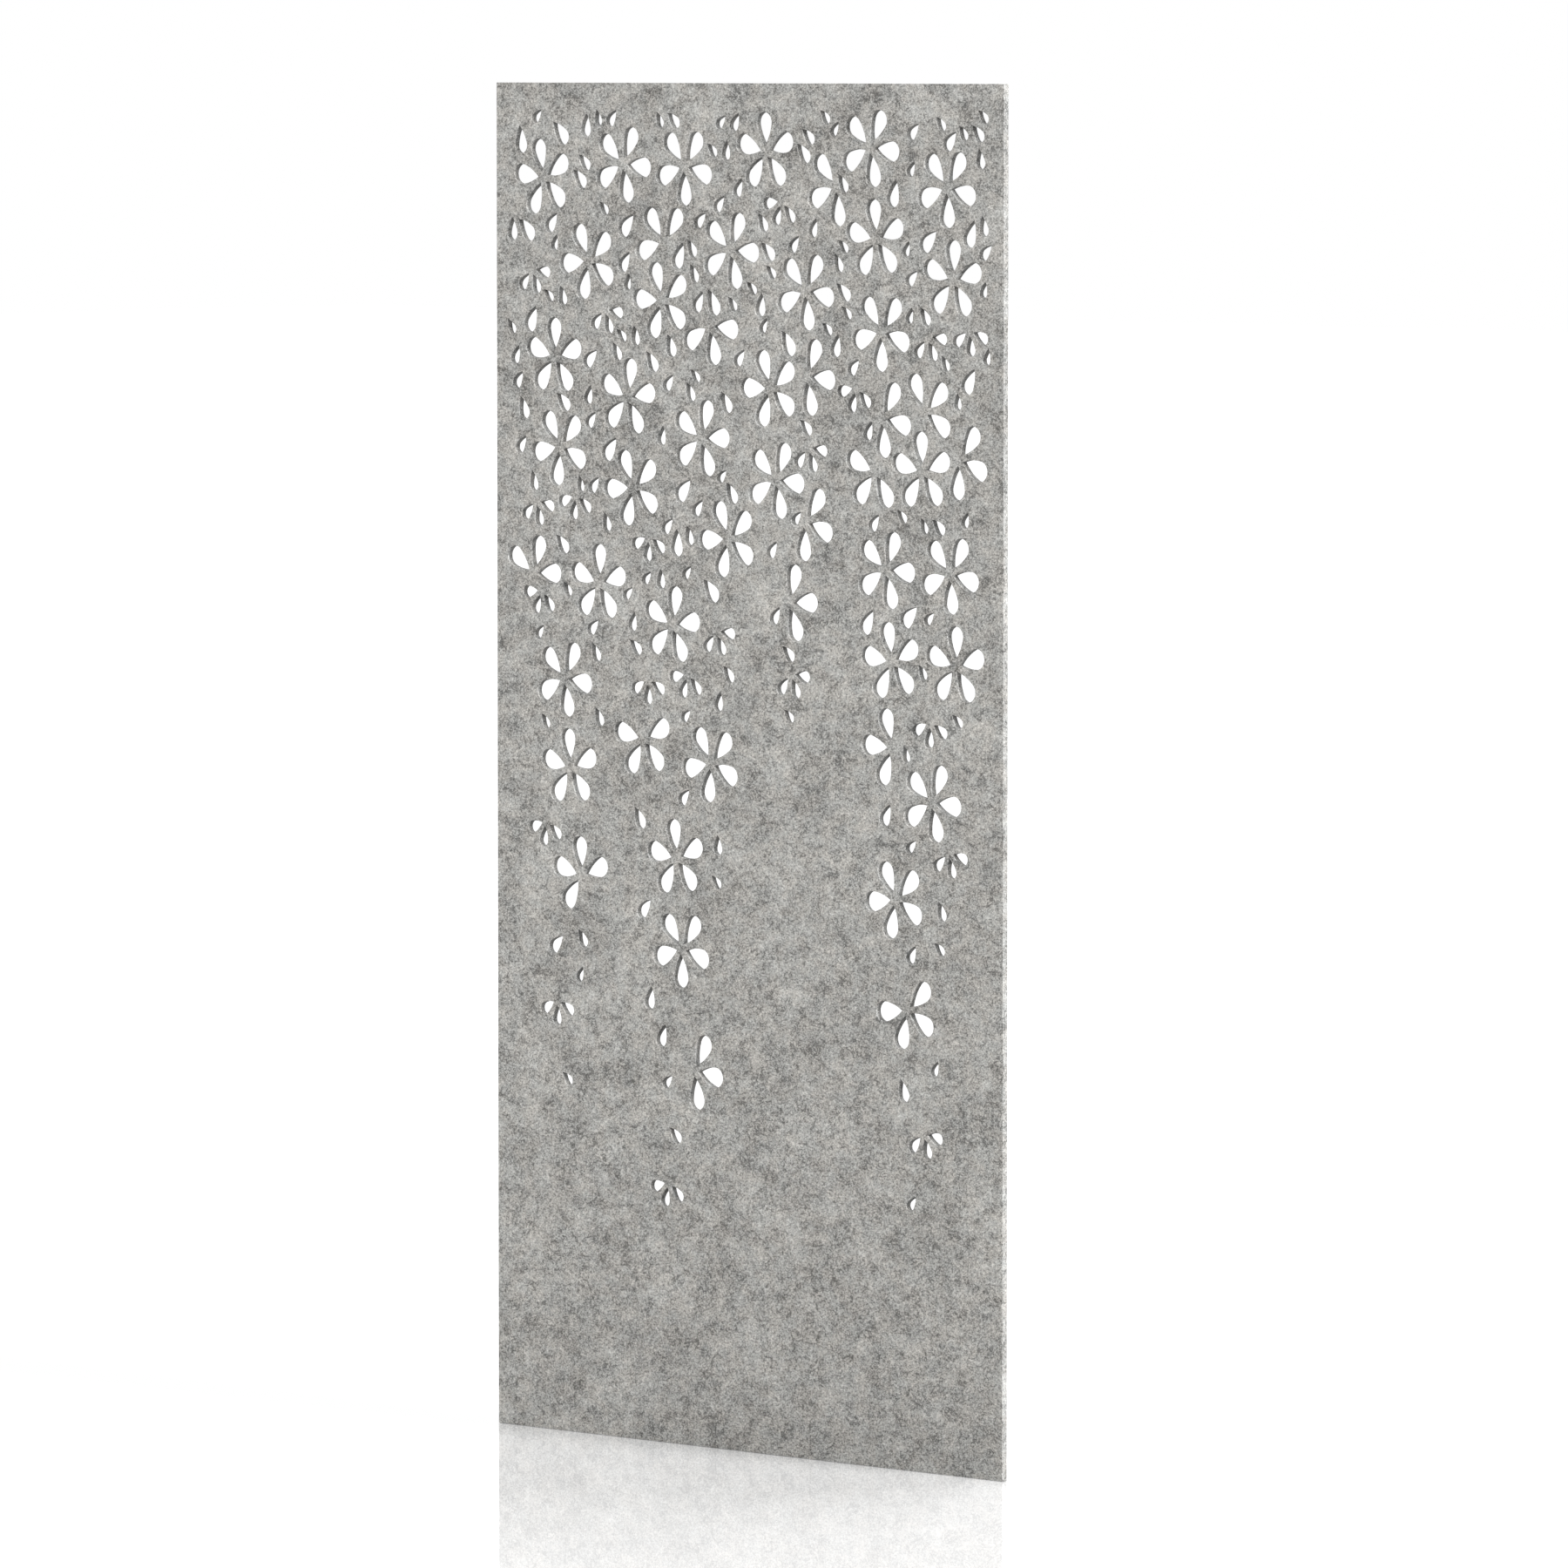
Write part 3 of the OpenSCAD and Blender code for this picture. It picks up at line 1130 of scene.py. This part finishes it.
class DIVIDER_OT_cut_felt(bpy.types.Operator):
    """Cut the felt board with its petals and the slot for its hanger"""

    bl_idname = "divider.cut_felt"
    bl_label = "Cut Felt Board"

    def execute(self, context):
        settings = context.scene.divider_felt
        gap = 2 * settings.hanger_gap
        rail_size, rail_middle = extent("hanger_rail")
        socket_size, socket_middle = extent(SOCKETS[1])
        pin_size, pin_middle = extent(RAIL_PINS[-1])
        piece = grow(
            "felt_sheet",
            petal_points(),
            felt_tree(),
            {
                "Width": BOARD_SIZE.x,
                "Height": BOARD_SIZE.z,
                "Thickness": BOARD_SIZE.y,
                "Petal Width": settings.petal_width,
                "Flank Radius": settings.flank_radius,
                "Flank Steps": settings.flank_steps,
                "End Steps": settings.end_steps,
                "Lip": settings.lip,
                "Corner": settings.corner,
                "Slot Length": rail_size.x + gap,
                "Slot Depth": rail_size.z / 2 - rail_middle.z + gap / 2,
                "Slot Thickness": rail_size.y + gap,
                "Bore Spacing": 2 * socket_middle.x,
                "Bore Diameter": socket_size.x + gap,
                "Bore Depth": socket_size.z + gap / 2,
                "Pins": len(RAIL_PINS),
                "Pin Spread": 2 * pin_middle.x,
                "Pin Diameter": pin_size.x + 2 * settings.pin_gap,
                "Pin Length": pin_size.y + gap,
                "Pin Depth": -pin_middle.z,
                "Face Material": felt_material("felt_face", settings.colour),
                # The cut felt's colour holds painted shade for the walls inside the petals
                "Cut Material": felt_material("felt_cut", settings.cut_colour_and_shade),
            },
        )
        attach(piece, BODY)
        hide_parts("felt_board")
        return {"FINISHED"}


class DIVIDER_OT_finish_rail(bpy.types.Operator):
    """Give the rail its mill finish"""

    bl_idname = "divider.finish_rail"
    bl_label = "Finish Rail"

    def execute(self, context):
        colour = context.scene.divider_hanger.rail_colour
        finish = metal_material("aluminium_mill", colour, roughness=0.38, streaks=(6.0, 900.0, 900.0))
        dress(["hanger_rail"], finish)
        return {"FINISHED"}


class DIVIDER_OT_thread_sockets(bpy.types.Operator):
    """Thread the two sockets and give them their turned and plated finish"""

    bl_idname = "divider.thread_sockets"
    bl_label = "Thread Sockets"

    def execute(self, context):
        settings = context.scene.divider_hanger
        finish = metal_material(
            "steel_plated", settings.socket_colour, roughness=0.32, streaks=(150.0, 150.0, 2500.0)
        )
        tree = socket_tree()
        for name in SOCKETS:
            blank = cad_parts[name].data.copy()
            blank.materials.clear()
            piece = grow(
                name + "_threaded",
                blank,
                tree,
                {
                    "Axis": extent(name)[1].x,
                    "Bore": settings.bore,
                    "Thread": settings.thread,
                    "Pitch": settings.pitch,
                    "Thread Length": settings.thread_length,
                    "Lead-in": settings.lead_in,
                    "Material": finish,
                },
            )
            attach(piece, BODY)
            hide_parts(name)
        return {"FINISHED"}


class DIVIDER_OT_finish_pins(bpy.types.Operator):
    """Give the socket pins and the rail pins their ground finish"""

    bl_idname = "divider.finish_pins"
    bl_label = "Finish Pins"

    def execute(self, context):
        colour = context.scene.divider_hanger.pin_colour
        finish = metal_material("steel_ground", colour, roughness=0.25, streaks=(300.0, 3000.0, 300.0))
        dress(SOCKET_PINS + RAIL_PINS, finish)
        return {"FINISHED"}


class DIVIDER_OT_set_stage(bpy.types.Operator):
    """Set up the camera, the floor and the light"""

    bl_idname = "divider.set_stage"
    bl_label = "Set Stage"

    def execute(self, context):
        settings = context.scene.divider_stage
        reach = settings.floor_reach
        level = -BOARD_SIZE.z - settings.floor_gap
        mesh = bpy.data.meshes.new("floor")
        signs = ((-1, -1), (1, -1), (1, 1), (-1, 1))
        corners = [(reach * x, reach * y, level) for x, y in signs]
        mesh.from_pydata(corners, [], [(0, 1, 2, 3)])
        mesh.materials.append(floor_material(settings))
        floor = bpy.data.objects.new("floor", mesh)
        context.scene.collection.objects.link(floor)
        set_world(settings)
        add_sun("key", settings.key, towards=(-0.4, 0.44, -0.8), softness=math.radians(60))
        add_sun("edge_light", settings.edge_light, towards=(-1.0, 0.06, -0.12), softness=math.radians(10))
        add_camera(settings)
        context.scene.view_settings.view_transform = "Standard"
        return {"FINISHED"}


OPERATORS = (
    DIVIDER_OT_cut_felt,
    DIVIDER_OT_finish_rail,
    DIVIDER_OT_thread_sockets,
    DIVIDER_OT_finish_pins,
    DIVIDER_OT_set_stage,
)


class DIVIDER_PT_panel(bpy.types.Panel):
    """Lists the divider's settings and steps"""

    bl_idname = "DIVIDER_PT_panel"
    bl_label = "Petal Room Divider"
    bl_space_type = "VIEW_3D"
    bl_region_type = "UI"
    bl_category = "Divider"

    def draw(self, context):
        scene = context.scene
        for settings in (scene.divider_felt, scene.divider_hanger, scene.divider_stage):
            box = self.layout.box()
            for key in settings.__annotations__:
                box.prop(settings, key)
        for operator in OPERATORS:
            self.layout.operator(operator.bl_idname)


CLASSES = (FeltSettings, HangerSettings, StageSettings, *OPERATORS, DIVIDER_PT_panel)


def register():
    for cls in CLASSES:
        bpy.utils.register_class(cls)
    bpy.types.Scene.divider_felt = PointerProperty(type=FeltSettings)
    bpy.types.Scene.divider_hanger = PointerProperty(type=HangerSettings)
    bpy.types.Scene.divider_stage = PointerProperty(type=StageSettings)


def unregister():
    del bpy.types.Scene.divider_stage
    del bpy.types.Scene.divider_hanger
    del bpy.types.Scene.divider_felt
    for cls in reversed(CLASSES):
        bpy.utils.unregister_class(cls)


def main():
    register()
    bpy.ops.divider.cut_felt()
    bpy.ops.divider.finish_rail()
    bpy.ops.divider.thread_sockets()
    bpy.ops.divider.finish_pins()
    bpy.ops.divider.set_stage()


if __name__ == "__main__":
    main()
